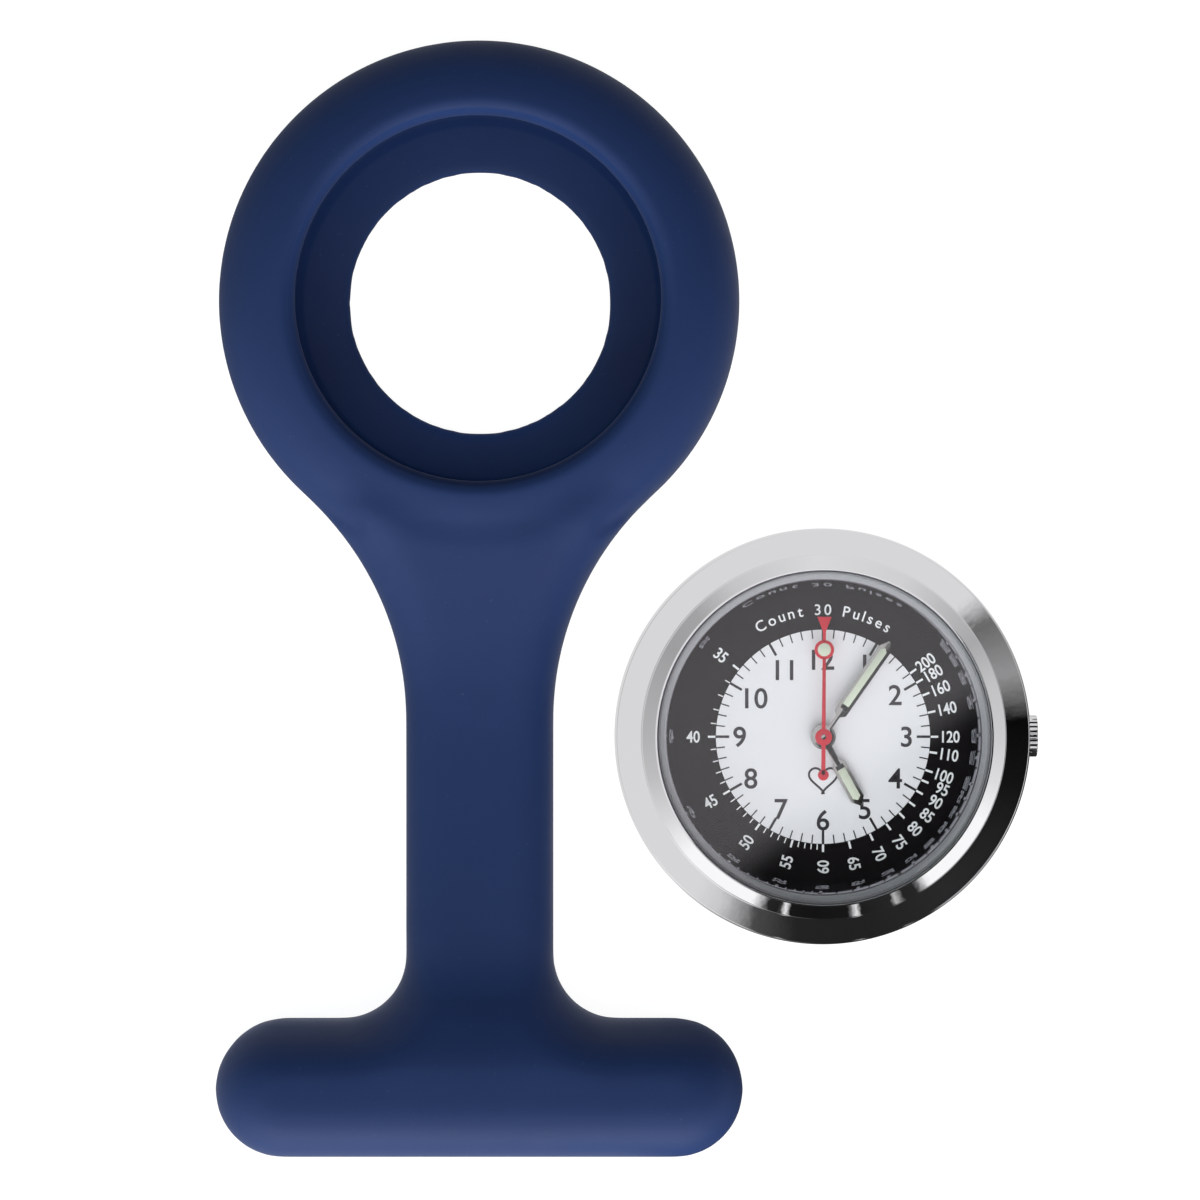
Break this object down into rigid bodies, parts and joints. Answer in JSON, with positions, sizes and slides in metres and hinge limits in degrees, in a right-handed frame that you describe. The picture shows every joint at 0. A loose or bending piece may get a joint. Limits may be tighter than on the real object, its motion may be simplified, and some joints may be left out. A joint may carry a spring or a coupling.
{
  "type": "fob watch",
  "caption": "Silicone fob watch shown apart: a holder with ring pocket, neck and brooch bar, and the round analogue watch head that presses into it.",
  "frame": {"origin": "middle of the whole outline seen from the front, on the plane that the holder and the head lie on", "axes": "+Z out of the dial face, +Y from six to twelve o'clock and from the bar to the ring, +X to the crown"},
  "size_m": [0.0654, 0.0888, 0.0096],
  "materials": {
    "silicone": "matt moulded silicone, navy blue",
    "chrome": "mirror polished plating, faintly rippled on the flange",
    "steel": "brushed or stamped stainless steel",
    "brass": "satin movement brass",
    "copper": "lacquered copper winding",
    "glass": "clear flat mineral glass with a small edge bevel",
    "seal": "black nitrile seal or moulded epoxy",
    "dial": "white printed dial with a charcoal outer ring",
    "red": "red lacquered metal",
    "nylon": "natural moulded nylon",
    "board": "green solder resist"
  },
  "bodies": {
    "holder": {"silicone_holder": "silicone", "brooch_plate": "steel", "brooch_rivet": "steel", "catch_housing": "steel"},
    "brooch_pin": {"brooch_pin": "steel"},
    "catch_lock": {"catch_lock": "chrome"},
    "head": {"case_body": "chrome", "crystal": "glass", "crystal_gasket": "seal", "rehaut_ring": "chrome", "dial": "dial", "case_back": "steel", "back_gasket": "seal", "case_tube": "steel", "movement_ring": "nylon", "main_plate": "brass", "train_bridge": "steel", "bridge_screw_1": "steel", "bridge_screw_2": "steel", "bridge_screw_3": "steel", "stator": "steel", "coil": "copper", "coil_core": "steel", "circuit_board": "board", "quartz_can": "steel", "ic_chip": "seal", "battery": "steel", "battery_clamp": "steel"},
    "rotor": {"rotor": "steel"},
    "fifth_wheel": {"fifth_wheel": "nylon"},
    "seconds": {"fourth_wheel": "brass", "second_hand": "red"},
    "third_wheel": {"third_wheel": "brass"},
    "minutes": {"centre_wheel": "brass", "minute_hand": "chrome"},
    "minute_wheel": {"minute_wheel": "brass"},
    "hours": {"hour_wheel": "brass", "hour_hand": "chrome"},
    "setting_wheel": {"setting_wheel": "steel"},
    "crown_seal": {"crown_gasket": "seal"},
    "crown": {"crown": "chrome", "stem": "steel"},
    "clutch": {"clutch_pinion": "steel"},
    "setting_lever": {"setting_lever": "steel"}
  },
  "joints": [
    {"name": "head_lift", "type": "slide", "parent": "holder", "child": "head", "axis": [0, 0, 1], "range_m": [0, 0.025]},
    {"name": "second_hand_turn", "type": "hinge", "parent": "head", "child": "seconds", "pos_m": [0.01558, -0.01093, 0.0022], "axis": [0, 0, -1], "continuous": true},
    {"name": "rotor_turn", "type": "hinge", "parent": "head", "child": "rotor", "pos_m": [0.01924, -0.01082, 0.0022], "axis": [0, 0, -1], "continuous": true},
    {"name": "fifth_wheel_turn", "type": "hinge", "parent": "head", "child": "fifth_wheel", "pos_m": [0.01755, -0.01021, 0.0022], "axis": [0, 0, -1], "continuous": true},
    {"name": "third_wheel_turn", "type": "hinge", "parent": "head", "child": "third_wheel", "pos_m": [0.01521, -0.00887, 0.0022], "axis": [0, 0, -1], "continuous": true},
    {"name": "minute_hand_turn", "type": "hinge", "parent": "head", "child": "minutes", "pos_m": [0.01558, -0.01093, 0.0022], "axis": [0, 0, -1], "continuous": true},
    {"name": "minute_wheel_turn", "type": "hinge", "parent": "head", "child": "minute_wheel", "pos_m": [0.01758, -0.01093, 0.0045], "axis": [0, 0, -1], "continuous": true},
    {"name": "hour_hand_turn", "type": "hinge", "parent": "head", "child": "hours", "pos_m": [0.01558, -0.01093, 0.0045], "axis": [0, 0, -1], "continuous": true},
    {"name": "setting_wheel_turn", "type": "hinge", "parent": "head", "child": "setting_wheel", "pos_m": [0.01988, -0.01093, 0.0045], "axis": [0, 0, -1], "continuous": true},
    {"name": "crown_pull", "type": "slide", "parent": "head", "child": "crown_seal", "axis": [1, 0, 0], "range_m": [0, 0.0009]},
    {"name": "crown_turn", "type": "hinge", "parent": "crown_seal", "child": "crown", "pos_m": [0.03157, -0.01093, 0.0033], "axis": [1, 0, 0], "continuous": true},
    {"name": "clutch_slide", "type": "slide", "parent": "crown", "child": "clutch", "axis": [1, 0, 0], "range_m": [-0.0016, 0]},
    {"name": "setting_lever_pivot", "type": "hinge", "parent": "head", "child": "setting_lever", "pos_m": [0.02392, -0.00932, 0.0033], "axis": [0, 0, 1], "range_deg": [0, 32]},
    {"name": "brooch_pin_swing", "type": "hinge", "parent": "holder", "child": "brooch_pin", "pos_m": [-0.02568, -0.03898, 0.0015], "axis": [0, 1, 0], "range_deg": [0, 75]},
    {"name": "catch_lock_turn", "type": "hinge", "parent": "holder", "child": "catch_lock", "pos_m": [0.00231, -0.03898, 0.0015], "axis": [1, 0, 0], "range_deg": [0, 120]}
  ],
  "couplings": [
    {"joint": "rotor_turn", "follows": "second_hand_turn", "ratio": 30},
    {"joint": "fifth_wheel_turn", "follows": "second_hand_turn", "ratio": -6},
    {"joint": "third_wheel_turn", "follows": "second_hand_turn", "ratio": -0.13333},
    {"joint": "minute_hand_turn", "follows": "second_hand_turn", "ratio": 0.016667},
    {"joint": "minute_wheel_turn", "follows": "second_hand_turn", "ratio": -0.0055556},
    {"joint": "hour_hand_turn", "follows": "second_hand_turn", "ratio": 0.0013889},
    {"joint": "setting_wheel_turn", "follows": "second_hand_turn", "ratio": 0.010417},
    {"joint": "clutch_slide", "follows": "crown_pull", "ratio": -1.6667},
    {"joint": "setting_lever_pivot", "follows": "crown_pull", "rad_per_m": 609.3}
  ]
}
